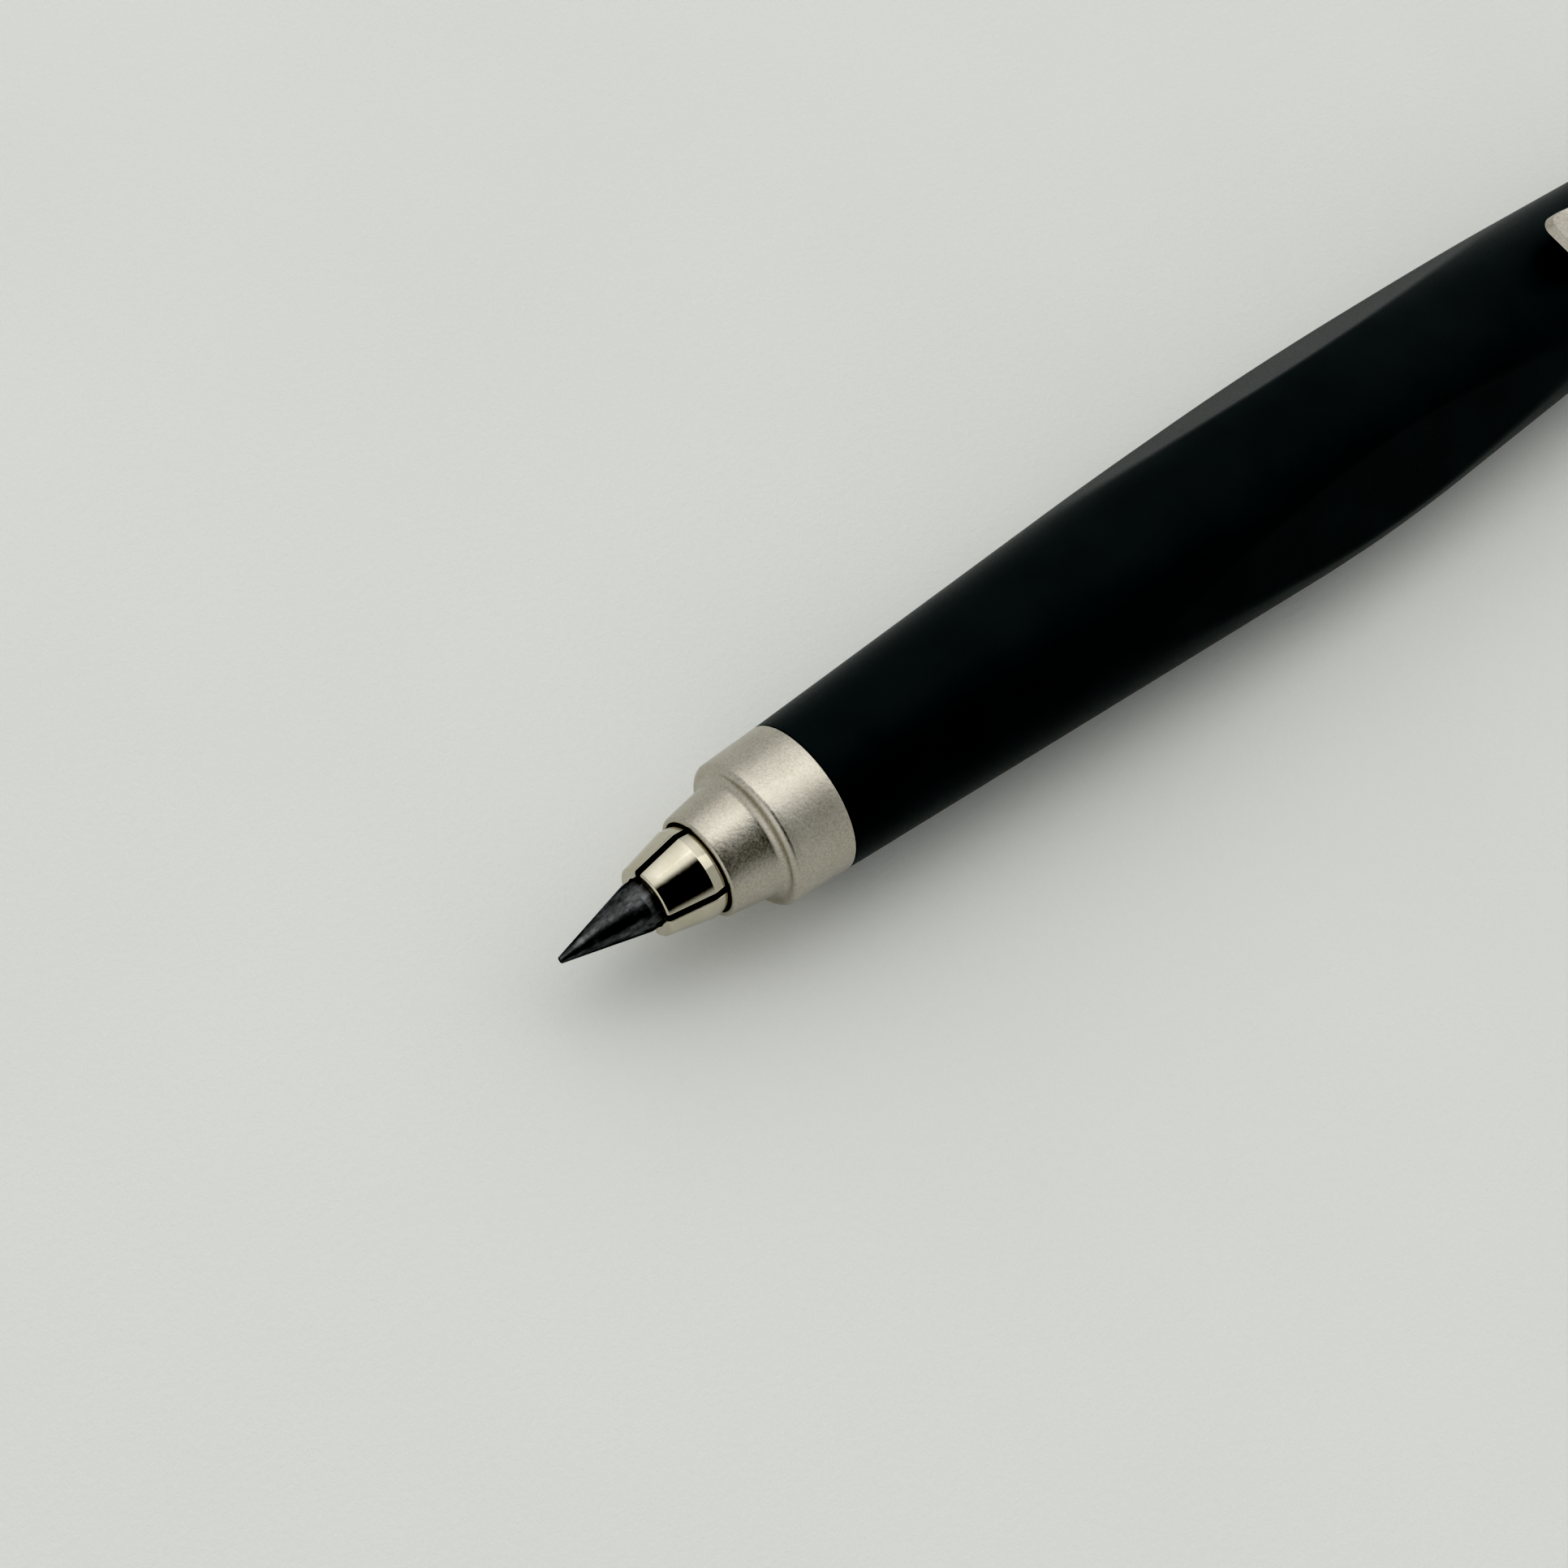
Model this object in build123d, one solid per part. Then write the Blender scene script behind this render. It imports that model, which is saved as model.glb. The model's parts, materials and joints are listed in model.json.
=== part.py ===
"""Drop-clutch lead holder for thick leads.

Every length is in millimetres. Places along the holder ("at", "front", "back") are measured
along its axis from the point of the lead towards the push button, and radii from that axis.
The finished pieces are moved so that the holder lies along X, point towards -X, clip up,
with the lowest line of its bottom facet at Z = 0.
"""
from build123d import *

import math
import os

os.makedirs("parts", exist_ok=True)

# Lead
lead_radius = 1.575
lead_length = 84.0
lead_point_length = 5.6
lead_blunt_radius = 0.2

# Collet: four jaws on a root sleeve
jaw_count = 4
jaw_slot = 0.45
jaw_middle_angle = 104.0
jaw_front = 6.2
jaw_front_radius = 2.27
jaw_nose_round = 0.16
jaw_ridge_at = 9.2
jaw_ridge_radius = 2.94
jaw_ridge_round = 0.12
jaw_cone_back = 13.2
jaw_cone_back_radius = 2.54
jaw_arm_radius = 2.4
jaw_grip_radius = 1.6
jaw_grip_back = 12.6
jaw_relief_radius = 1.85
jaw_root = 24.0
jaw_edge_bevel = 0.11
jaw_bevel_front = 0.3
jaw_blank_size = 5.0
sleeve_back = 29.8
sleeve_bore_radius = 1.8
sleeve_socket_at = 26.0

# Nose cone
nose_mouth = 10.05
nose_mouth_radius = 3.04
nose_mouth_depth = 0.6
nose_lip_radius = 3.32
nose_lip_round = 0.22
nose_shoulder_at = 13.5
nose_tube_end_radius = 3.87
nose_cove_round = 0.56
nose_shoulder_radius = 4.8
nose_shoulder_round = 0.42
nose_back = 17.9
nose_back_radius = 4.92
nose_bore_radius = 2.66
nose_spigot_radius = 3.6
nose_spigot_back = 25.9
closing_gap = 0.03

# Barrel
barrel_back = 111.0
barrel_back_radius = 4.55
barrel_front_radius = 4.95
bulge_at = 62.6
bulge_corner_radius = 7.16
bulge_round = 130.0
barrel_bore_radius = 3.3
facet_angles = (0, 120, 240)
facet_distance = 6.15
facet_cut_length = 100.0
facet_cut_width = 20.0
facet_cut_depth = 10.0

# Threaded inserts moulded into the barrel
front_bush_front = 18.0
front_bush_back = 28.2
front_bush_radius = 4.2
front_bush_flange_at = 26.2
front_bush_flange_bore = 2.66
rear_bush_front = 103.5
rear_bush_back = 110.8
rear_bush_radius = 4.0

# Push tube and its spring
tube_radius = 2.1
tube_bore_radius = 1.75
tube_back = 111.9
seat_thickness = 0.6
seat_radius = 3.25
seat_bore_radius = 2.5
spring_length = 22.0
spring_turns = 13
spring_wire_radius = 0.25
spring_middle_radius = 2.78
spring_end_gap = 0.05
collar_length = 4.0
collar_radius = 3.2
guide_front = 96.0
guide_back = 103.0
guide_bore_radius = 2.15

# Clip
clip_ring_thickness = 0.6
clip_width = 3.9
clip_leg_top = 6.9
clip_arm_thickness = 0.6
clip_tip_at = 80.9
clip_tip_height = 7.95
clip_tip_corner = 0.95
clip_lip_at = 83.3
clip_lip_height = 7.85
clip_lip_round = 3.0
clip_touch_at = 86.4
clip_touch_height = 5.3
clip_touch_round = 4.0
clip_bend_at = 90.8
clip_bend_height = 7.0
clip_bend_round = 8.0
clip_back_round = 0.55
clip_plan_depth = 20.0

# End ring and push button
ring_spigot_front = 104.0
ring_spigot_radius = 3.65
ring_bore_radius = 3.3
ring_radius = 4.5
ring_back = 113.2
ring_round = 0.35
ring_edge_round = 0.1
ring_corner_round = 0.001
button_front = 108.8
button_back = 119.8
button_radius = 3.24
button_bore_radius = 2.75
button_bore_back = 118.6
button_round = 0.7
button_edge_round = 0.12
groove_first_at = 114.4
groove_spacing = 0.8
groove_count = 4
groove_width = 0.3
groove_depth = 0.15
pointer_front = 109.2
pointer_socket_radius = 2.15
pointer_cone_at = 112.3
pointer_mouth_radius = 1.7
blade_thickness = 0.3
blade_width = 1.7
blade_length = 4.6
blade_window_height = 4.0

# Worked out from the dimensions above
seat_front = front_bush_back
spring_front = seat_front + seat_thickness
spring_back = spring_front + spring_length
clip_ring_back = barrel_back + clip_ring_thickness
point_slope = (lead_radius - lead_blunt_radius) / lead_point_length
point_angle = math.degrees(math.atan(point_slope))
pointer_cone_back = pointer_cone_at + (pointer_mouth_radius - lead_blunt_radius) / point_slope
middle_at = button_back / 2

# How far a line may stray and still count as lying in a plane
flatness = 0.001


def turned(*outline):
    """A solid turned about the axis from a closed outline of (along, radius) points."""
    return revolve(make_face(Polyline(*outline, close=True)), Axis.X)


def turned_under(line, *inner):
    """A solid turned about the axis between a rounded outer line and inner points."""
    closing = Polyline(line @ 1, *inner, line @ 0)
    return revolve(make_face([*line.edges(), *closing.edges()]), Axis.X)


def ring(front, back, outer_radius, inner_radius):
    """A plain turned ring."""
    corners = ((front, inner_radius), (front, outer_radius), (back, outer_radius), (back, inner_radius))
    return turned(*corners)


def lead():
    """The graphite stick, sharpened to a slightly blunt point."""
    return turned(
        (0, 0),
        (0, lead_blunt_radius),
        (lead_point_length, lead_radius),
        (lead_length, lead_radius),
        (lead_length, 0),
    )


def slot_edges(jaw):
    """The outer edges of a jaw beside its two slots."""
    half_slot = jaw_slot / 2
    chosen = []
    for edge in jaw.edges():
        box = edge.bounding_box()
        middle = edge @ 0.5
        flat_in_y = box.size.Y < flatness and abs(middle.Y - half_slot) < flatness
        flat_in_z = box.size.Z < flatness and abs(middle.Z - half_slot) < flatness
        outer = max(middle.Y, middle.Z) > (jaw_relief_radius + jaw_arm_radius) / 2
        cone = jaw_front + jaw_bevel_front < middle.X < jaw_cone_back - flatness
        if (flat_in_y or flat_in_z) and outer and cone:
            chosen.append(edge)
    return chosen


def collet_jaw(number):
    """One of the four jaws: a tapered head that grips the lead, on a thin springy arm."""
    outside = FilletPolyline(
        (jaw_front, jaw_grip_radius),
        (jaw_front, jaw_front_radius),
        (jaw_ridge_at, jaw_ridge_radius),
        (jaw_cone_back, jaw_cone_back_radius),
        radius=[jaw_nose_round, jaw_ridge_round],
    )
    collet = turned_under(
        outside,
        (jaw_cone_back, jaw_arm_radius),
        (jaw_root, jaw_arm_radius),
        (jaw_root, jaw_relief_radius),
        (jaw_grip_back, jaw_relief_radius),
        (jaw_grip_back, jaw_grip_radius),
    )
    corner = Pos(jaw_front - 1, jaw_slot / 2, jaw_slot / 2)
    length = jaw_root - jaw_front + 2
    blank = Box(length, jaw_blank_size, jaw_blank_size, align=(Align.MIN, Align.MIN, Align.MIN))
    quarter = corner * blank
    jaw = collet & quarter
    jaw = chamfer(slot_edges(jaw), jaw_edge_bevel)
    return Rot(jaw_middle_angle - 45 + number * 360 / jaw_count, 0, 0) * jaw


def collet_sleeve():
    """The root of the collet, screwed onto the front of the push tube."""
    return turned(
        (jaw_root, sleeve_bore_radius),
        (jaw_root, jaw_arm_radius),
        (sleeve_back, jaw_arm_radius),
        (sleeve_back, tube_radius),
        (sleeve_socket_at, tube_radius),
        (sleeve_socket_at, sleeve_bore_radius),
    )


def nose_cone():
    """The metal nose: tapered tube, cove, shoulder, conical rear and threaded spigot."""
    outside = FilletPolyline(
        (nose_mouth, nose_mouth_radius),
        (nose_mouth, nose_lip_radius),
        (nose_shoulder_at, nose_tube_end_radius),
        (nose_shoulder_at, nose_shoulder_radius),
        (nose_back, nose_back_radius),
        radius=[nose_lip_round, nose_cove_round, nose_shoulder_round],
    )
    closing_slope = (jaw_ridge_radius - jaw_cone_back_radius) / (jaw_cone_back - jaw_ridge_at)
    closing_front = nose_mouth + nose_mouth_depth
    closing_radius = jaw_ridge_radius + closing_gap - closing_slope * (closing_front - jaw_ridge_at)
    closing_back = closing_front + (closing_radius - nose_bore_radius) / closing_slope
    return turned_under(
        outside,
        (nose_back, nose_spigot_radius),
        (nose_spigot_back, nose_spigot_radius),
        (nose_spigot_back, nose_bore_radius),
        (closing_back, nose_bore_radius),
        (closing_front, closing_radius),
    )


def facet_cutter(angle):
    """A block whose lower face is one barrel facet."""
    place = (Align.CENTER, Align.CENTER, Align.MIN)
    block = Box(facet_cut_length, facet_cut_width, facet_cut_depth, align=place)
    return Rot(180 + angle, 0, 0) * Pos(bulge_at, 0, facet_distance) * block


def barrel():
    """The moulded barrel: a long swelling turned shape with three flat facets."""
    outside = FilletPolyline(
        (nose_back, barrel_front_radius),
        (bulge_at, bulge_corner_radius),
        (barrel_back, barrel_back_radius),
        radius=bulge_round,
    )
    body = turned_under(
        outside,
        (barrel_back, rear_bush_radius),
        (rear_bush_front, rear_bush_radius),
        (rear_bush_front, barrel_bore_radius),
        (front_bush_back, barrel_bore_radius),
        (front_bush_back, front_bush_radius),
        (nose_back, front_bush_radius),
    )
    for angle in facet_angles:
        body -= facet_cutter(angle)
    return body


def front_bush():
    """The threaded insert that takes the nose cone; its flange carries the spring seat."""
    return turned(
        (front_bush_front, nose_spigot_radius),
        (front_bush_front, front_bush_radius),
        (front_bush_back, front_bush_radius),
        (front_bush_back, front_bush_flange_bore),
        (front_bush_flange_at, front_bush_flange_bore),
        (front_bush_flange_at, nose_spigot_radius),
    )


def return_spring():
    """The compression spring between its seat and the collar on the push tube."""
    inset = spring_wire_radius + spring_end_gap
    travel = spring_length - 2 * inset
    coil = Helix(
        pitch=travel / spring_turns,
        height=travel,
        radius=spring_middle_radius,
        center=(spring_front + inset, 0, 0),
        direction=(1, 0, 0),
    )
    section = Plane(origin=coil @ 0, z_dir=coil % 0) * Circle(spring_wire_radius)
    return sweep(section, path=coil, is_frenet=True)


def clip_ring():
    """The clip's root: a washer gripped behind the barrel, with a leg that holds the arm."""
    washer = ring(barrel_back, clip_ring_back, barrel_back_radius, ring_spigot_radius)
    leg_foot = (ring_spigot_radius + barrel_back_radius) / 2
    leg = Pos(barrel_back, 0, leg_foot) * Box(
        clip_ring_thickness,
        clip_width,
        clip_leg_top - leg_foot,
        align=(Align.MIN, Align.CENTER, Align.MIN),
    )
    return washer + leg


def clip_arm():
    """The clip's springy arm: a flat tongue that dips to the barrel and lifts to a level lip."""
    under_points = (
        (clip_ring_back, clip_leg_top),
        (clip_bend_at, clip_bend_height),
        (clip_touch_at, clip_touch_height),
        (clip_lip_at, clip_lip_height),
        (clip_tip_at, clip_tip_height),
    )
    over_points = [(at, height + clip_arm_thickness) for at, height in under_points]
    rounds = [clip_bend_round, clip_touch_round, clip_lip_round]
    under = FilletPolyline(*under_points, radius=rounds)
    over = FilletPolyline(*over_points[::-1], radius=rounds[::-1])
    tip = Line(under @ 1, over @ 0)
    back = Line(over @ 1, under @ 0)
    side = make_face([*under.edges(), *tip.edges(), *over.edges(), *back.edges()])
    arm = extrude(Rot(90, 0, 0) * side, clip_width / 2, both=True)
    back_corner = arm.edges().sort_by(Axis.X)[-4:].sort_by(Axis.Z)[-1]
    arm = fillet(back_corner, clip_back_round)
    middle = (clip_tip_at + clip_ring_back) / 2
    plan = Pos(middle, 0) * Rectangle(clip_ring_back - clip_tip_at, clip_width)
    plan = fillet(plan.vertices().sort_by(Axis.X)[:2], clip_tip_corner)
    return arm & extrude(plan, clip_plan_depth)


def end_ring():
    """The ring screwed into the back of the barrel, which clamps the clip and guides the button."""
    outside = FilletPolyline(
        (ring_spigot_front, ring_bore_radius),
        (ring_spigot_front, ring_spigot_radius),
        (clip_ring_back, ring_spigot_radius),
        (clip_ring_back, ring_radius),
        (ring_back, ring_radius),
        (ring_back, ring_bore_radius),
        radius=[ring_edge_round, ring_corner_round, ring_edge_round, ring_round],
    )
    return turned_under(outside)


def push_button():
    """The metal cap that is pressed to open the jaws and pulled off to fill and to point."""
    outside = FilletPolyline(
        (button_front, button_bore_radius),
        (button_front, button_radius),
        (button_back, button_radius),
        (button_back, 0),
        radius=[button_edge_round, button_round],
    )
    cap = turned_under(outside, (button_bore_back, 0), (button_bore_back, button_bore_radius))
    for groove in range(groove_count):
        front = groove_first_at + groove * groove_spacing
        cap -= ring(front, front + groove_width, button_radius + groove_depth, button_radius - groove_depth)
    return cap


def blade_place():
    """Where the pointer's blade lies: along the top of the pointing cone."""
    middle = (pointer_cone_at + pointer_cone_back) / 2
    height = (pointer_mouth_radius + lead_blunt_radius) / 2
    return Pos(middle, 0, height) * Rot(0, point_angle, 0)


def pointer_blade():
    """The steel blade whose edge lies along the pointing cone."""
    place = (Align.CENTER, Align.MIN, Align.MIN)
    blade = Box(blade_length, blade_width, blade_thickness, align=place)
    return blade_place() * blade


def pointer_body():
    """The insert inside the button: a socket for the push tube, then the pointing cone."""
    body = turned(
        (pointer_front, pointer_socket_radius),
        (pointer_front, button_bore_radius),
        (button_bore_back, button_bore_radius),
        (button_bore_back, 0),
        (pointer_cone_back, 0),
        (pointer_cone_back, lead_blunt_radius),
        (pointer_cone_at, pointer_mouth_radius),
        (pointer_cone_at, pointer_socket_radius),
    )
    place = (Align.CENTER, Align.MIN, Align.MIN)
    window = Box(blade_length, blade_width, blade_window_height, align=place)
    return body - blade_place() * window


pieces = {
    "lead": lead(),
    "collet_sleeve": collet_sleeve(),
    "nose_cone": nose_cone(),
    "barrel": barrel(),
    "front_bush": front_bush(),
    "rear_bush": ring(rear_bush_front, rear_bush_back, rear_bush_radius, ring_spigot_radius),
    "lead_tube": ring(sleeve_socket_at, tube_back, tube_radius, tube_bore_radius),
    "spring_seat": ring(seat_front, spring_front, seat_radius, seat_bore_radius),
    "return_spring": return_spring(),
    "spring_collar": ring(spring_back, spring_back + collar_length, collar_radius, tube_radius),
    "guide_bush": ring(guide_front, guide_back, barrel_bore_radius, guide_bore_radius),
    "clip_ring": clip_ring(),
    "clip_arm": clip_arm(),
    "end_ring": end_ring(),
    "push_button": push_button(),
    "pointer_body": pointer_body(),
    "pointer_blade": pointer_blade(),
}
for number in range(jaw_count):
    pieces[f"collet_jaw_{number + 1}"] = collet_jaw(number)

axis_height = -pieces["barrel"].bounding_box().min.Z
for node, piece in pieces.items():
    export_step(Pos(-middle_at, 0, axis_height) * piece, f"parts/{node}.step")
print(f"axis height {axis_height:.4f}, middle at {middle_at:.3f}")
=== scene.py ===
"""The looks of the lead holder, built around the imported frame.

Lengths named in millimetres are measured as in the design: "along" runs along the holder's axis
from the point of the lead towards the push button, and radii are from that axis. Objects are in
metres, in the frame of the design: lead towards -X, clip up, floor at Z = 0.
"""

import json
import math

import bpy
from mathutils import Matrix, Vector


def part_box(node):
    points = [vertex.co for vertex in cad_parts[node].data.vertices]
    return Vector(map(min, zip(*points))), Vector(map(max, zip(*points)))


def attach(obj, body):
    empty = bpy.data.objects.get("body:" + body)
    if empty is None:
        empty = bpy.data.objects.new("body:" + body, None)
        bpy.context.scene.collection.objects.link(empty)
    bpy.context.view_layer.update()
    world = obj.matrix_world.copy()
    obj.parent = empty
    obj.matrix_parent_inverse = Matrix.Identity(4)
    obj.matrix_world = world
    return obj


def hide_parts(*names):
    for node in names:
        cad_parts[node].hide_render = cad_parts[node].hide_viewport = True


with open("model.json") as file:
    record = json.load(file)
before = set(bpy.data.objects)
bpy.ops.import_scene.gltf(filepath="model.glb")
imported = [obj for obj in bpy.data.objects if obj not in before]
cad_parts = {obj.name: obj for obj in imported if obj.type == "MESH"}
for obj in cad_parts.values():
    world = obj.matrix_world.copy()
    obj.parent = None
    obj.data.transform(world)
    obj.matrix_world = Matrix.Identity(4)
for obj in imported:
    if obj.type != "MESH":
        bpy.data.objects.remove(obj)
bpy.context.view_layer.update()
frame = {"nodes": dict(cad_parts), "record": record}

MM = 0.001
nodes = frame["nodes"]

tip_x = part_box("lead")[0].x
axis_z = (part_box("lead")[0].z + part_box("lead")[1].z) / 2


def along(corner):
    """How far along the holder a corner of a node's box lies, in millimetres."""
    return (corner.x - tip_x) / MM


def place(distance, across, up):
    """The point at these millimetres along, to the side of and above the axis, in metres."""
    return Vector((tip_x + distance * MM, across * MM, axis_z + up * MM))


# ---------------------------------------------------------------- outlines


def rounded(corners, radii, steps=8):
    """A line of (along, radius) points through corners, each inner corner rounded by an arc."""
    points = [Vector(corners[0])]
    for index, radius in enumerate(radii):
        before, corner, after = (Vector(corners[index + step]) for step in range(3))
        into = (corner - before).normalized()
        out = (after - corner).normalized()
        turn = into.angle_signed(out)
        if radius == 0 or abs(turn) < 0.0001:
            points.append(corner)
            continue
        cut = radius * math.tan(abs(turn) / 2)
        side = math.copysign(1, turn)
        inward = Vector((into.y * side, -into.x * side))
        centre = corner - into * cut + inward * radius
        for step in range(steps + 1):
            spin = Matrix.Rotation(-turn * step / steps, 2)
            points.append(centre + spin @ (-inward * radius))
    points.append(Vector(corners[-1]))
    return points


def divided(points, longest):
    """The same line with no piece longer than a given length."""
    result = [points[0]]
    for start, end in zip(points, points[1:]):
        count = max(1, math.ceil((end - start).length / longest))
        result += [start.lerp(end, step / count) for step in range(1, count + 1)]
    return result


# ---------------------------------------------------------------- mesh building


def mesh_piece(name, vertices, faces, body, node, crease_degrees=35):
    """A smooth-shaded piece that rides on a body and takes the place of a design node."""
    slot = slots[node]
    mesh = bpy.data.meshes.new(name)
    mesh.from_pydata(vertices, [], faces)
    mesh.validate()
    mesh.shade_smooth()
    piece = bpy.data.objects.new(name, mesh)
    bpy.context.scene.collection.objects.link(piece)
    mesh.materials.append(looks[slot])
    mesh.set_sharp_from_angle(angle=math.radians(crease_degrees))
    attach(piece, body)
    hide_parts(node)
    return piece


def soften(piece, width_mm):
    """Rounds a piece's sharp edges."""
    bevel = piece.modifiers.new("edge_bevel", "BEVEL")
    bevel.width = width_mm * MM
    bevel.segments = 3
    bevel.limit_method = "ANGLE"
    bevel.angle_limit = math.radians(55)
    bevel.harden_normals = True


on_axis = 0.0005


def turned_mesh(outline, segments, limit=None):
    """Vertices and faces of an (along, radius) outline turned about the axis.

    A point nearer to the axis than on_axis becomes one vertex. An outline that stays away from the
    axis is closed into a ring. limit(along, angle, radius) may lower a radius.
    """
    vertices = []
    rings = []
    for point in outline:
        if point.y < on_axis:
            rings.append([len(vertices)] * segments)
            vertices.append(place(point.x, 0, 0))
            continue
        rings.append(list(range(len(vertices), len(vertices) + segments)))
        for segment in range(segments):
            angle = 2 * math.pi * segment / segments
            radius = limit(point.x, angle, point.y) if limit else point.y
            vertices.append(place(point.x, radius * math.sin(angle), radius * math.cos(angle)))
    faces = []
    pairs = list(zip(rings, rings[1:]))
    if outline[0].y >= on_axis and outline[-1].y >= on_axis:
        pairs.append((rings[-1], rings[0]))
    for first, second in pairs:
        for segment in range(segments):
            following = (segment + 1) % segments
            corners = [first[segment], first[following], second[following], second[segment]]
            face = list(dict.fromkeys(corners))
            if len(face) > 2:
                faces.append(face)
    return vertices, faces


# ---------------------------------------------------------------- node materials


class Shader:
    """A node material under construction around one Principled shader."""

    def __init__(self, name):
        self.material = bpy.data.materials.new(name)
        self.material.use_nodes = True
        self.tree = self.material.node_tree
        self.principled = self.tree.nodes["Principled BSDF"]
        self.coordinates = self.add("ShaderNodeTexCoord").outputs["Object"]

    def add(self, kind):
        return self.tree.nodes.new(kind)

    def link(self, output, target):
        self.tree.links.new(output, target)

    def set(self, **values):
        """Sets sockets of the Principled shader; an underscore in a name stands for a space."""
        for key, value in values.items():
            self.principled.inputs[key.replace("_", " ")].default_value = value

    def stretched(self, scale):
        """The object's coordinates, scaled along each axis."""
        mapping = self.add("ShaderNodeMapping")
        mapping.inputs["Scale"].default_value = scale
        self.link(self.coordinates, mapping.inputs["Vector"])
        return mapping.outputs["Vector"]

    def noise(self, size_mm, detail=2.0, roughness=0.5, stretch=(1, 1, 1)):
        """Noise whose features are about size_mm across."""
        noise = self.add("ShaderNodeTexNoise")
        noise.inputs["Scale"].default_value = 1 / (size_mm * MM)
        noise.inputs["Detail"].default_value = detail
        noise.inputs["Roughness"].default_value = roughness
        self.link(self.stretched(stretch), noise.inputs["Vector"])
        return noise.outputs["Fac"]

    def ramp(self, factor, stops):
        """A colour ramp from (position, colour) stops."""
        ramp = self.add("ShaderNodeValToRGB")
        elements = ramp.color_ramp.elements
        while len(elements) < len(stops):
            elements.new(0.5)
        for element, (position, colour) in zip(elements, stops):
            element.position = position
            element.color = (*colour, 1)
        self.link(factor, ramp.inputs["Fac"])
        return ramp.outputs["Color"]

    def spread(self, factor, low, high, start=0.3, end=0.7):
        """The factor between start and end, spread from low to high."""
        spread = self.add("ShaderNodeMapRange")
        for key, value in (("From Min", start), ("From Max", end), ("To Min", low), ("To Max", high)):
            spread.inputs[key].default_value = value
        self.link(factor, spread.inputs["Value"])
        return spread.outputs["Result"]

    def product(self, first, second):
        """Two colours multiplied."""
        mix = self.add("ShaderNodeMix")
        mix.data_type = "RGBA"
        mix.blend_type = "MULTIPLY"
        mix.inputs["Factor"].default_value = 1
        self.link(first, mix.inputs[6])
        self.link(second, mix.inputs[7])
        return mix.outputs[2]

    def bump(self, heights):
        """A stack of bumps from (height output, depth in mm) pairs."""
        normal = None
        for height, depth_mm in heights:
            bump = self.add("ShaderNodeBump")
            bump.inputs["Strength"].default_value = 1
            bump.inputs["Distance"].default_value = depth_mm * MM
            self.link(height, bump.inputs["Height"])
            if normal:
                self.link(normal, bump.inputs["Normal"])
            normal = bump.outputs["Normal"]
        self.link(normal, self.principled.inputs["Normal"])


def satin_metal():
    """Bead-blasted nickel plate: pearly, a little warm, finely pitted."""
    shader = Shader("satin_metal_look")
    shader.set(Metallic=1.0)
    cloud = shader.noise(2.6, 3, 0.6)
    clouded = shader.ramp(cloud, [(0.3, (0.49, 0.458, 0.388)), (0.7, (0.55, 0.522, 0.457))])
    grain = shader.noise(0.15, 3, 0.7)
    speckle = shader.ramp(grain, [(0.33, (0.74, 0.728, 0.70)), (0.62, (1.0, 1.0, 1.0))])
    shader.link(shader.product(clouded, speckle), shader.principled.inputs["Base Color"])
    shader.link(shader.spread(grain, 0.27, 0.38), shader.principled.inputs["Roughness"])
    shader.bump([(grain, 0.010), (shader.noise(0.35, 1), 0.008)])
    return shader.material


def polished_metal():
    """Polished nickel plate with a faint yellow tone and light handling marks."""
    shader = Shader("collet_metal_look")
    shader.set(Metallic=1.0)
    haze = shader.noise(1.1, 4, 0.65)
    colour = shader.ramp(haze, [(0.3, (0.49, 0.452, 0.35)), (0.7, (0.56, 0.528, 0.432))])
    shader.link(colour, shader.principled.inputs["Base Color"])
    shader.link(shader.spread(haze, 0.07, 0.16), shader.principled.inputs["Roughness"])
    lathe_lines = shader.noise(0.16, 2, 0.5, (1, 0.08, 0.08))
    shader.bump([(lathe_lines, 0.0006), (shader.noise(0.6, 2), 0.003)])
    return shader.material


def slot_shade_metal():
    """Near-black painted shade on the sawn walls of the collet's slots and on the jaws' hidden inner faces.
    """
    shader = Shader("slot_painted_shade_look")
    shade_mottle = shader.noise(0.25, 3, 0.6)
    # Near-black colour, mottled a little: painted shade in the slots and bores.
    colour = shader.ramp(shade_mottle, [(0.35, (0.006, 0.006, 0.006)), (0.7, (0.02, 0.019, 0.017))])
    shader.link(colour, shader.principled.inputs["Base Color"])
    shader.set(Specular_IOR_Level=0.15)
    shader.link(shader.spread(shade_mottle, 0.5, 0.7), shader.principled.inputs["Roughness"])
    shader.bump([(shade_mottle, 0.01)])
    return shader.material


def barrel_plastic():
    """Matte black plastic with a very fine moulded grain."""
    shader = Shader("barrel_plastic_look")
    shader.set(Specular_IOR_Level=0.08, Specular_Tint=(0.8, 0.92, 1.0, 1.0))
    cloud = shader.noise(5, 3)
    low, high = (0.012, 0.0148, 0.0152), (0.0155, 0.019, 0.0195)
    colour = shader.ramp(cloud, [(0.3, low), (0.7, high)])
    shader.link(colour, shader.principled.inputs["Base Color"])
    grain = shader.noise(0.12, 2, 0.6)
    shader.link(shader.spread(grain, 0.38, 0.47), shader.principled.inputs["Roughness"])
    shader.bump([(grain, 0.004)])
    return shader.material


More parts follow.
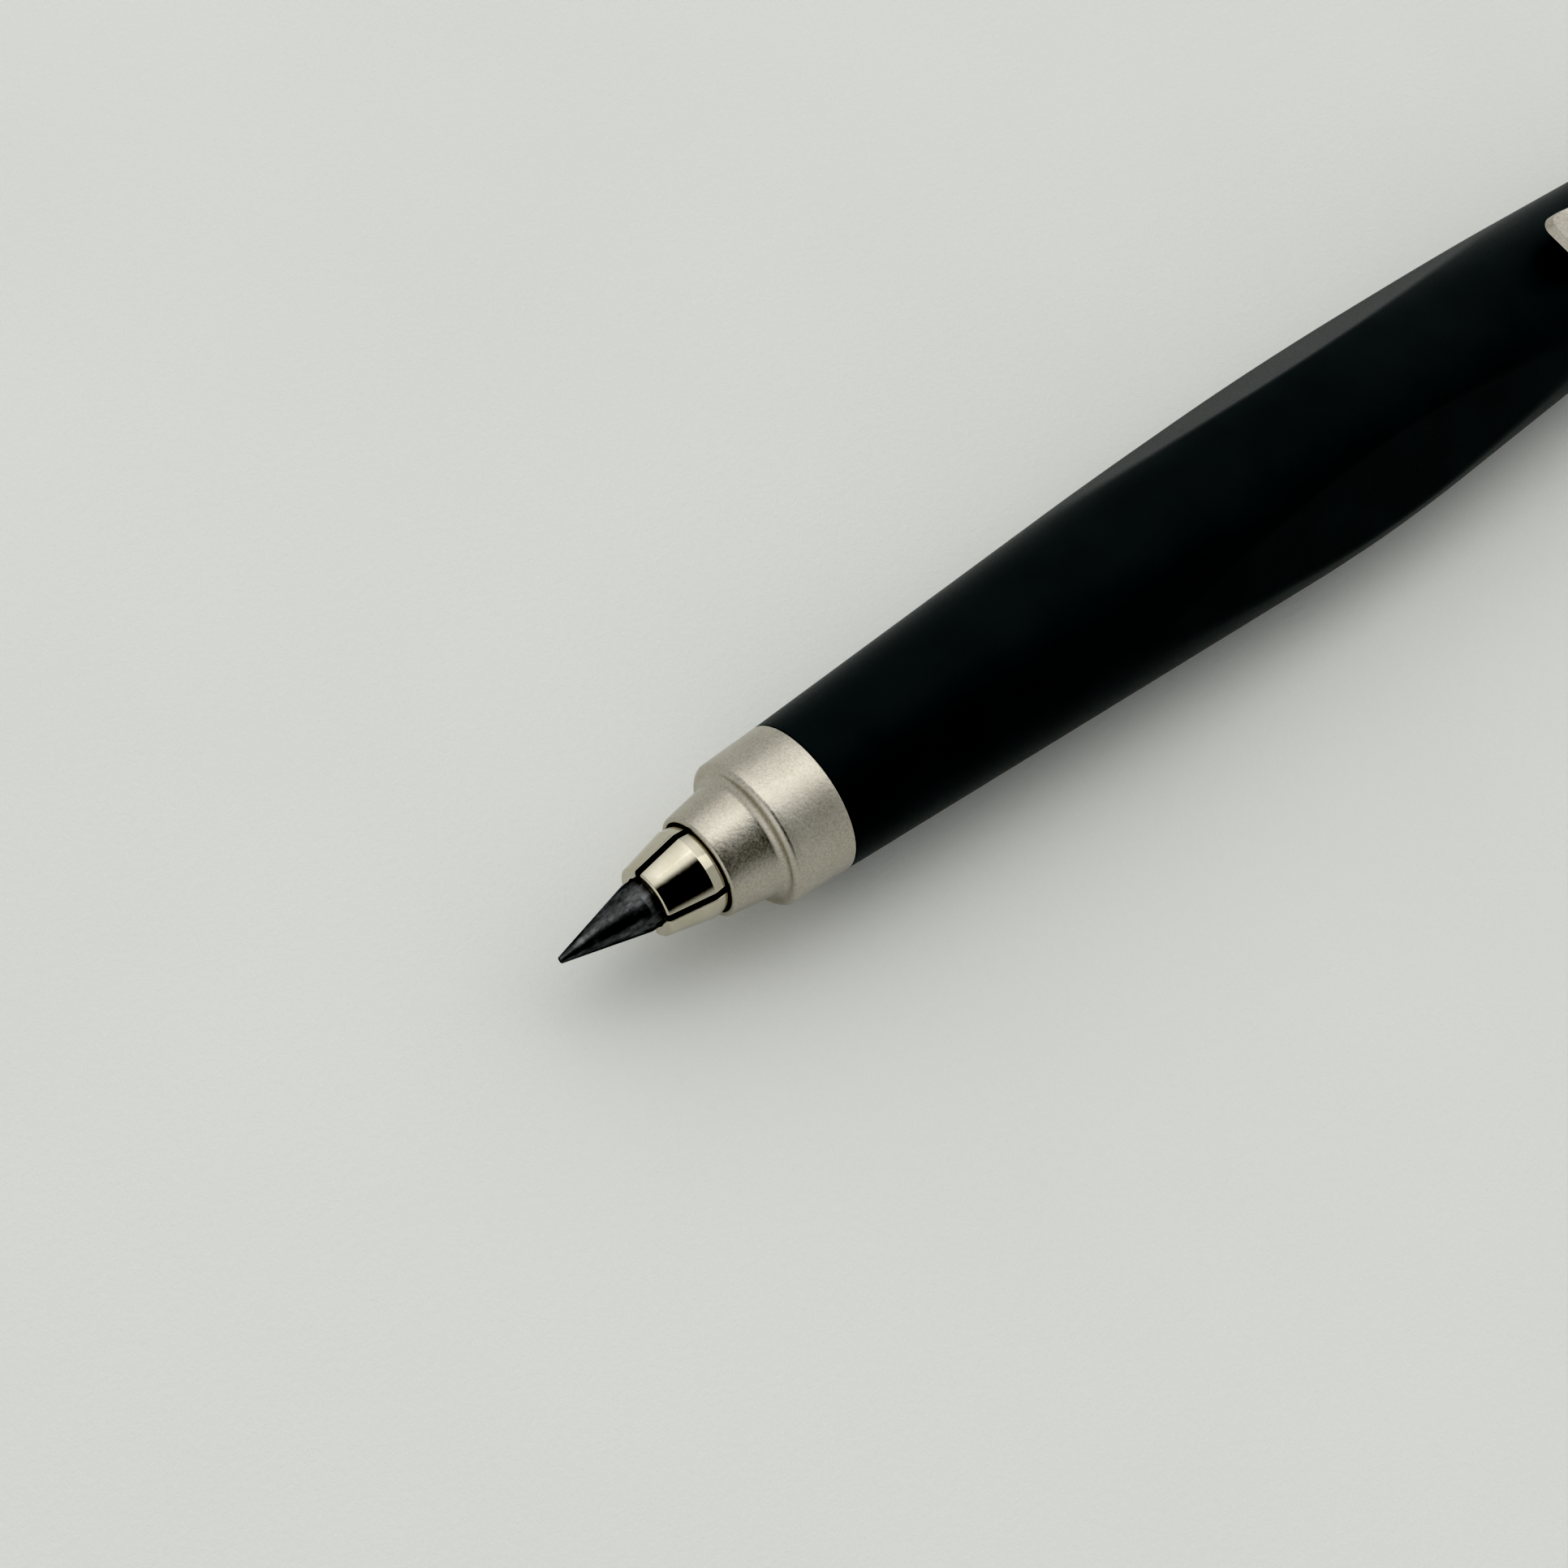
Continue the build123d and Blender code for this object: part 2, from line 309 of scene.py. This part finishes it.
def graphite():
    """Graphite: dark grey with lighter smeared blotches that run with the sharpening."""
    shader = Shader("graphite_look")
    blotch = shader.noise(0.9, 4, 0.65, (0.45, 1, 1))
    dark, middle, light = (0.068, 0.069, 0.070), (0.112, 0.115, 0.117), (0.22, 0.226, 0.232)
    smeared = shader.ramp(blotch, [(0.36, dark), (0.55, middle), (0.72, light)])
    flake = shader.noise(0.3, 3, 0.7, (0.6, 1, 1))
    flaked = shader.ramp(flake, [(0.35, (0.55, 0.55, 0.55)), (0.62, (1.0, 1.0, 1.0))])
    shader.link(shader.product(smeared, flaked), shader.principled.inputs["Base Color"])
    shader.set(Metallic=1.0, Specular_Tint=(0.25, 0.26, 0.27, 1.0))
    shader.link(shader.spread(blotch, 0.28, 0.38), shader.principled.inputs["Roughness"])
    scratches = shader.noise(0.14, 3, 0.6, (0.2, 1, 1))
    shader.bump([(scratches, 0.006), (shader.noise(0.5, 2), 0.01)])
    return shader.material


def turned_metal(name, dark, light, roughness):
    """Plain turned metal with faint tool lines around it."""
    shader = Shader(name)
    shader.set(Metallic=1.0)
    colour = shader.ramp(shader.noise(1.5, 3), [(0.3, dark), (0.7, light)])
    shader.link(colour, shader.principled.inputs["Base Color"])
    lines = shader.noise(0.2, 2, 0.5, (1, 0.05, 0.05))
    line_roughness = shader.spread(lines, roughness - 0.05, roughness + 0.06)
    shader.link(line_roughness, shader.principled.inputs["Roughness"])
    shader.bump([(lines, 0.002)])
    return shader.material


def grey_plastic():
    """Dark grey acetal with a soft turned surface."""
    shader = Shader("grey_plastic_look")
    low, high = (0.10, 0.10, 0.105), (0.13, 0.13, 0.135)
    colour = shader.ramp(shader.noise(1.2, 3), [(0.3, low), (0.7, high)])
    shader.link(colour, shader.principled.inputs["Base Color"])
    grain = shader.noise(0.15, 2)
    shader.link(shader.spread(grain, 0.42, 0.52), shader.principled.inputs["Roughness"])
    shader.bump([(grain, 0.003)])
    return shader.material


looks = {
    "satin_metal": satin_metal(),
    "collet_metal": polished_metal(),
    "barrel_plastic": barrel_plastic(),
    "graphite": graphite(),
    "brass": turned_metal("brass_look", (0.62, 0.44, 0.2), (0.72, 0.54, 0.27), 0.28),
    "steel": turned_metal("steel_look", (0.42, 0.42, 0.43), (0.52, 0.52, 0.53), 0.3),
    "grey_plastic": grey_plastic(),
}

slots = {entry["node"]: entry["material_slot"] for entry in frame["record"]["subparts"]}
for node_name, cad_object in nodes.items():
    cad_object.data.materials.clear()
    cad_object.data.materials.append(looks[slots[node_name]])

# ---------------------------------------------------------------- barrel

barrel_front = along(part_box("barrel")[0])
barrel_back = along(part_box("barrel")[1])
barrel_front_radius = 4.95
barrel_back_radius = 4.55
bulge_at = 62.6
bulge_corner_radius = 7.16
bulge_round = 130.0
barrel_front_round = 0.1
barrel_back_round = 0.12
front_socket_radius = 4.2
back_socket_radius = 4.0
bore_radius = 3.3
bore_front = 28.2
bore_back = 103.5
facet_distance = 6.15
facet_angles = (60, 180, 300)
facet_widest_cosine = 0.5
facet_edge_reach = 0.14


def facet_limit(distance, angle, radius):
    """The barrel's radius once its three flats are cut, with a hair of rounding at their edges."""
    for facet in facet_angles:
        cosine = math.cos(angle - math.radians(facet))
        if cosine < facet_widest_cosine:
            continue
        cut = facet_distance / cosine
        gap = max(facet_edge_reach - abs(radius - cut), 0)
        radius = min(radius, cut) - gap * gap / (facet_edge_reach * 4)
    return radius


def barrel():
    """The barrel: a long swelling shape with three flats, and the bores that hold the works."""
    outside = rounded(
        [
            (barrel_front, front_socket_radius),
            (barrel_front, barrel_front_radius),
            (bulge_at, bulge_corner_radius),
            (barrel_back, barrel_back_radius),
            (barrel_back, back_socket_radius),
        ],
        [barrel_front_round, bulge_round, barrel_back_round],
        steps=12,
    )
    inside = [
        (bore_back, back_socket_radius),
        (bore_back, bore_radius),
        (bore_front, bore_radius),
        (bore_front, front_socket_radius),
    ]
    outline = divided(outside, longest=0.45) + [Vector(point) for point in inside]
    vertices, faces = turned_mesh(outline, segments=360, limit=facet_limit)
    return mesh_piece("barrel_shell", vertices, faces, "holder", "barrel")


barrel()

# ---------------------------------------------------------------- nose cone

nose_front = along(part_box("nose_cone")[0])
nose_back = barrel_front
nose_spigot_back = along(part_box("nose_cone")[1])
mouth_depth = 0.62
mouth_inner_radius = 2.82
mouth_middle_radius = 3.04
mouth_outer_radius = 3.32
cove_at = 13.5
cove_radius = 3.87
shoulder_radius = 4.8
nose_back_radius = 4.96
spigot_radius = 3.6
nose_bore_radius = 2.66
nose_bore_front = 12.25
nose_rounds = [0.1, 0.22, 0.56, 0.42, 0.1]


def nose_cone():
    """The nose: rounded mouth, tapered tube, cove, shoulder and conical rear."""
    corners = [
        (nose_front + mouth_depth, mouth_inner_radius),
        (nose_front, mouth_middle_radius),
        (nose_front, mouth_outer_radius),
        (cove_at, cove_radius),
        (cove_at, shoulder_radius),
        (nose_back, nose_back_radius),
        (nose_back, spigot_radius),
    ]
    outside = rounded(corners, nose_rounds, steps=10)
    inside = [
        (nose_spigot_back, spigot_radius),
        (nose_spigot_back, nose_bore_radius),
        (nose_bore_front, nose_bore_radius),
    ]
    outline = divided(outside, longest=0.6) + [Vector(point) for point in inside]
    vertices, faces = turned_mesh(outline, segments=256)
    return mesh_piece("nose_shell", vertices, faces, "holder", "nose_cone")


nose_cone()

# ---------------------------------------------------------------- lead

lead_radius = 1.575
lead_tip_radius = 0.2
lead_cone_length = 5.6
lead_rounds = [0.06, 0.3, 0.1]
lead_crease = 60


def lead():
    """The sharpened stick, with a small worn dome at its point."""
    back = along(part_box("lead")[1])
    corners = [
        (0, 0),
        (0, lead_tip_radius),
        (lead_cone_length, lead_radius),
        (back, lead_radius),
        (back, 0),
    ]
    outline = divided(rounded(corners, lead_rounds), longest=0.5)
    vertices, faces = turned_mesh(outline, segments=128)
    return mesh_piece("lead_stick", vertices, faces, "lead", "lead", lead_crease)


lead()

# ---------------------------------------------------------------- collet jaws

jaw_slot = 0.45
jaw_count = 4
jaw_first_angle = 14.0
jaw_edge_round = 0.2
jaw_front = 6.2
jaw_front_radius = 2.27
jaw_ridge_at = 9.2
jaw_ridge_radius = 2.94
jaw_head_back = 13.2
jaw_head_back_radius = 2.54
jaw_arm_radius = 2.4
jaw_back = 24.0
jaw_grip_radius = 1.6
jaw_grip_back = 12.6
jaw_inner_radius = 1.85
jaw_rounds = [0.16, 0.1, 0, 0, 0]
# Rows of faces at the jaw's back end and bore that get the near-black painted shade.
jaw_shaded_rows = 5

# Near-black painted shade for the jaws' slot walls, back ends and bores.
slot_painted_shade = slot_shade_metal()


def collet_jaw(number):
    """A jaw: tapered head with rounded rims, gripping bore and thin springy arm."""
    corners = [
        (jaw_front, jaw_grip_radius),
        (jaw_front, jaw_front_radius),
        (jaw_ridge_at, jaw_ridge_radius),
        (jaw_head_back, jaw_head_back_radius),
        (jaw_head_back, jaw_arm_radius),
        (jaw_back, jaw_arm_radius),
        (jaw_back, jaw_inner_radius),
    ]
    outside = rounded(corners, jaw_rounds, steps=6)
    inside = [(jaw_grip_back, jaw_inner_radius), (jaw_grip_back, jaw_grip_radius)]
    outline = divided(outside, longest=0.5) + [Vector(point) for point in inside]
    middle = math.radians(jaw_first_angle + number * 360 / jaw_count)
    columns = 40
    vertices = []
    for point in outline:
        # Half the angle that the jaw fills between its two slots at this radius.
        reach = math.pi / jaw_count - math.asin(jaw_slot / 2 / point.y)
        for column in range(columns + 1):
            angle = middle + reach * (2 * column / columns - 1)
            vertices.append(place(point.x, -point.y * math.sin(angle), point.y * math.cos(angle)))
    row = columns + 1
    count = len(outline)
    faces = []
    for index in range(count):
        following = (index + 1) % count
        for column in range(columns):
            first = index * row + column
            second = following * row + column
            faces.append([first, first + 1, second + 1, second])
    faces.append([index * row for index in range(count)])
    faces.append([index * row + columns for index in reversed(range(count))])
    name = f"jaw_{number + 1}_finger"
    body = f"jaw_{number + 1}"
    node = f"collet_jaw_{number + 1}"
    piece = mesh_piece(name, vertices, faces, body, node)
    piece.data.materials.append(slot_painted_shade)
    # The rows of faces at the arm's end and in the bore come last, and then the two sawn sides; these get
    # the near-black painted shade.
    plain_metal_faces = (len(outline) - jaw_shaded_rows) * columns
    for polygon in piece.data.polygons:
        if polygon.index >= plain_metal_faces:
            polygon.material_index = 1
    soften(piece, jaw_edge_round)
    return piece


for number in range(jaw_count):
    collet_jaw(number)

# ---------------------------------------------------------------- clip, end ring and button

clip_thickness = 0.6
clip_half_width = 1.95
clip_tip_corner = 0.95
clip_tip_height = 7.95
clip_lip = (83.3, 7.85)
clip_touch = (86.4, 5.3)
clip_rise = (90.8, 7.0)
clip_back_height = 6.9
clip_rounds = [3.0, 4.0, 8.0]
clip_bend = 0.55
clip_edge_round = 0.12
clip_side_lean = 0.28


def clip_sides():
    """Pairs of (along, height) points under and over the clip's arm, from its tip to its bend."""
    tip = along(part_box("clip_arm")[0])
    back = along(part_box("clip_arm")[1])
    corners = [(tip, clip_tip_height), clip_lip, clip_touch, clip_rise, (back, clip_back_height)]
    raised = [(at, height + clip_thickness) for at, height in corners]
    under = rounded(corners, clip_rounds, steps=12)
    over = rounded(raised, clip_rounds, steps=12)
    steps = 110
    crowding = 1.3
    straight = back - clip_bend - tip
    places = [tip + straight * (step / steps) ** crowding for step in range(steps + 1)]
    pairs = [(at, height_at(under, at), height_at(over, at)) for at in places]
    bend_steps = 8
    for step in range(1, bend_steps + 1):
        turn = math.pi / 2 * step / bend_steps
        at = back - clip_bend * (1 - math.sin(turn))
        drop = clip_bend * (1 - math.cos(turn))
        pairs.append((at, height_at(under, at), height_at(over, at) - drop))
    return pairs


def height_at(line, distance):
    """The height of a line of (along, height) points at a distance along the holder."""
    for start, end in zip(line, line[1:]):
        if start.x <= distance <= end.x:
            share = (distance - start.x) / (end.x - start.x)
            return start.y + (end.y - start.y) * share
    return line[0].y if distance < line[0].x else line[-1].y


def clip_arm():
    """The clip's arm: a tongue with a rounded end, softened edges and a rounded bend at its root."""
    vertices = []
    pairs = clip_sides()
    for at, low, high in pairs:
        reach = clip_tip_corner - min(at - pairs[0][0], clip_tip_corner)
        half = clip_half_width - clip_tip_corner + math.sqrt(clip_tip_corner**2 - reach**2)
        top_half = half - clip_side_lean
        top_at = at + clip_side_lean * reach / clip_tip_corner
        vertices += [place(at, -half, low), place(at, half, low)]
        vertices += [place(top_at, top_half, high), place(top_at, -top_half, high)]
    faces = [(3, 2, 1, 0)]
    for index in range(0, len(vertices) - 4, 4):
        beyond = index + 4
        for side in range(4):
            following = (side + 1) % 4
            faces.append((index + side, index + following, beyond + following, beyond + side))
    last = len(vertices) - 4
    faces.append((last, last + 1, last + 2, last + 3))
    piece = mesh_piece("clip_tongue", vertices, faces, "clip", "clip_arm")
    soften(piece, clip_edge_round)
    return piece


ring_bore = 3.3
ring_spigot_radius = 3.65
ring_radius = 4.5
ring_rounds = [0.1, 0, 0.1, 0.35]


def end_ring():
    """The end ring: a spigot inside the barrel and a rounded collar behind the clip."""
    front = along(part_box("end_ring")[0])
    back = along(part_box("end_ring")[1])
    collar = along(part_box("clip_ring")[1])
    corners = [
        (front, ring_bore),
        (front, ring_spigot_radius),
        (collar, ring_spigot_radius),
        (collar, ring_radius),
        (back, ring_radius),
        (back, ring_bore),
    ]
    outline = rounded(corners, ring_rounds, steps=6)
    vertices, faces = turned_mesh(divided(outline, longest=0.8), segments=160)
    return mesh_piece("end_collar", vertices, faces, "holder", "end_ring")


button_radius = 3.24
button_bore = 2.75
button_bore_back = 118.6
button_crown = 0.7
button_front_round = 0.12
groove_first = 114.4
groove_spacing = 0.8
groove_count = 4
groove_width = 0.3
groove_rounds = [0.05, 0.06, 0.06, 0.05]
groove_floor = button_radius - 0.15


def push_button():
    """The button: a hollow cap with four grip grooves and a rounded crown."""
    front = along(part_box("push_button")[0])
    back = along(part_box("push_button")[1])
    corners = [(front, button_bore), (front, button_radius)]
    rounds = [button_front_round]
    for groove in range(groove_count):
        start = groove_first + groove_spacing * groove
        end = start + groove_width
        corners += [(start, button_radius), (start, groove_floor), (end, groove_floor), (end, button_radius)]
        rounds += groove_rounds
    corners += [(back, button_radius), (back, 0)]
    rounds.append(button_crown)
    bore = [Vector((button_bore_back, 0)), Vector((button_bore_back, button_bore))]
    outline = rounded(corners, rounds, steps=5) + bore
    vertices, faces = turned_mesh(outline, segments=160)
    return mesh_piece("button_cap", vertices, faces, "button", "push_button")


clip_arm()
end_ring()
push_button()

# ---------------------------------------------------------------- camera

# The camera looks across the holder and a little back along it. Turns are in degrees.
view_to_axis = 66.0
roll_towards_viewer = 17.0
axis_in_picture = 33.79
tip_depth_mm = 177.0
tip_left_mm = 12.61
tip_below_mm = 9.94
lens_mm = 72.2
sensor_mm = 36


def photo_camera():
    """A camera at the photographed viewing angle, from the holder's own axis."""
    tilt, roll, turn = (math.radians(a) for a in (view_to_axis, roll_towards_viewer, axis_in_picture))
    axis = Vector((1, 0, 0))
    facing = Vector((0, -math.sin(roll), math.cos(roll)))
    beside = Vector((0, -math.cos(roll), -math.sin(roll)))
    receding = axis * math.sin(tilt) + facing * math.cos(tilt)
    right = receding * math.cos(turn) + beside * math.sin(turn)
    up = receding * math.sin(turn) - beside * math.cos(turn)
    back = facing * math.sin(tilt) - axis * math.cos(tilt)
    tip = place(0, 0, 0)
    spot = tip + (right * tip_left_mm + up * tip_below_mm + back * tip_depth_mm) * MM
    data = bpy.data.cameras.new("photo_camera")
    data.sensor_width = sensor_mm
    data.lens = lens_mm
    data.clip_start = 0.005
    data.clip_end = 20
    camera = bpy.data.objects.new("photo_camera", data)
    bpy.context.scene.collection.objects.link(camera)
    camera.matrix_world = Matrix.Translation(spot) @ Matrix((right, up, back)).transposed().to_4x4()
    bpy.context.scene.camera = camera


photo_camera()

# ---------------------------------------------------------------- floor and light

# Directions are from the holder: +X towards its button, +Z up, -Y towards the camera's side. A light's
# fade is where it starts and ends, as a distance between directions on a unit ball.
ceiling_middle = (0.2, 0.38, 0.90)
ceiling_stretch = (1.4, 0.85, 0.85)
ceiling_fade = (0.2, 0.9)
ceiling_colour = (1.6, 1.6, 1.58)
room_colour = (0.57, 0.58, 0.57)
ahead_middle = (-0.9, -0.05, 0.42)
ahead_stretch = (1, 1, 1)
ahead_fade = (0.3, 0.9)
ahead_colour = (1.0, 1.0, 0.98)
behind_middle = (0.97, 0.0, 0.25)
behind_stretch = (1, 1, 1)
behind_fade = (0.15, 0.6)
behind_colour = (1.4, 1.4, 1.37)
dark_middle = (-0.12, -0.60, 0.79)
dark_stretch = (1.9, 1, 1)
dark_fade = (0.56, 0.86)
dark_colour = (0.003, 0.0035, 0.004)
strip_middle = (0.37, 0.04, 0.93)
strip_run = (0.57, -0.82, -0.05)
strip_over = 20
strip_distance = 1.0
strip_length = 1.2
strip_width = 0.3
strip_power = 0.8
black_curve = ((0.02, 0.0015), (0.05, 0.023), (0.11, 0.09))


def floor():
    """A plain pale floor with a faint paper-like grain."""
    reach = 3.0
    mesh = bpy.data.meshes.new("floor")
    corners = [(-reach, -reach, 0), (reach, -reach, 0), (reach, reach, 0), (-reach, reach, 0)]
    mesh.from_pydata(corners, [], [(0, 1, 2, 3)])
    piece = bpy.data.objects.new("floor", mesh)
    bpy.context.scene.collection.objects.link(piece)
    shader = Shader("floor_look")
    colour = shader.ramp(shader.noise(30, 2), [(0.3, (0.78, 0.79, 0.76)), (0.7, (0.80, 0.81, 0.78))])
    shader.link(colour, shader.principled.inputs["Base Color"])
    grain = shader.noise(0.42, 3, 0.7)
    shader.link(shader.spread(grain, 0.5, 0.6), shader.principled.inputs["Roughness"])
    shader.bump([(grain, 0.042), (shader.noise(0.13, 2, 0.6), 0.011)])
    mesh.materials.append(shader.material)


def from_spot(tree, direction, spot, stretch, ends):
    """0 near a direction and 1 away from it, by the distance between the two on a unit ball."""
    gap = tree.nodes.new("ShaderNodeVectorMath")
    gap.operation = "SUBTRACT"
    tree.links.new(direction, gap.inputs[0])
    gap.inputs[1].default_value = spot
    scaled = tree.nodes.new("ShaderNodeVectorMath")
    scaled.operation = "MULTIPLY"
    tree.links.new(gap.outputs["Vector"], scaled.inputs[0])
    scaled.inputs[1].default_value = stretch
    length = tree.nodes.new("ShaderNodeVectorMath")
    length.operation = "LENGTH"
    tree.links.new(scaled.outputs["Vector"], length.inputs[0])
    fade = tree.nodes.new("ShaderNodeMapRange")
    fade.interpolation_type = "SMOOTHSTEP"
    fade.inputs["From Min"].default_value = ends[0]
    fade.inputs["From Max"].default_value = ends[1]
    tree.links.new(length.outputs["Value"], fade.inputs["Value"])
    return fade.outputs["Result"]


def mixed(tree, factor, near, far):
    """The first colour where the factor is 0, the second where it is 1."""
    mix = tree.nodes.new("ShaderNodeMix")
    mix.data_type = "RGBA"
    tree.links.new(factor, mix.inputs["Factor"])
    for socket, colour in ((mix.inputs[6], near), (mix.inputs[7], far)):
        if isinstance(colour, tuple):
            socket.default_value = (*colour, 1)
        else:
            tree.links.new(colour, socket)
    return mix.outputs[2]


def studio():
    """A soft bright ceiling, lighter ends ahead and behind, and a dark side near the camera."""
    world = bpy.data.worlds.new("studio")
    bpy.context.scene.world = world
    world.use_nodes = True
    tree = world.node_tree
    direction = tree.nodes.new("ShaderNodeTexCoord").outputs["Generated"]
    ceiling = from_spot(tree, direction, ceiling_middle, ceiling_stretch, ceiling_fade)
    room = mixed(tree, ceiling, ceiling_colour, room_colour)
    ahead = from_spot(tree, direction, ahead_middle, ahead_stretch, ahead_fade)
    room = mixed(tree, ahead, ahead_colour, room)
    behind = from_spot(tree, direction, behind_middle, behind_stretch, behind_fade)
    room = mixed(tree, behind, behind_colour, room)
    dark_side = from_spot(tree, direction, dark_middle, dark_stretch, dark_fade)
    light = mixed(tree, dark_side, dark_colour, room)
    tree.links.new(light, tree.nodes["Background"].inputs["Color"])


def strip_light():
    """A long soft light overhead, which draws the bright line on the metal."""
    aim = Vector(strip_middle).normalized()
    data = bpy.data.lights.new("strip_light", "AREA")
    data.shape = "RECTANGLE"
    data.size = strip_length
    data.size_y = strip_width
    data.energy = strip_power
    light = bpy.data.objects.new("strip_light", data)
    bpy.context.scene.collection.objects.link(light)
    lengthwise = Vector(strip_run)
    lengthwise = (lengthwise - aim * lengthwise.dot(aim)).normalized()
    turned_to = Matrix((lengthwise, aim.cross(lengthwise), aim)).transposed().to_4x4()
    light.matrix_world = Matrix.Translation(place(strip_over, 0, 0) + aim * strip_distance) @ turned_to


def soft_blacks():
    """The contrast of an ordinary camera: the darkest tones draw together into black."""
    settings = bpy.context.scene.view_settings
    settings.view_transform = "Standard"
    settings.use_curve_mapping = True
    combined = settings.curve_mapping.curves[3]
    for tone, shown in black_curve:
        combined.points.new(tone, shown)
    settings.curve_mapping.update()


floor()
studio()
strip_light()
soft_blacks()
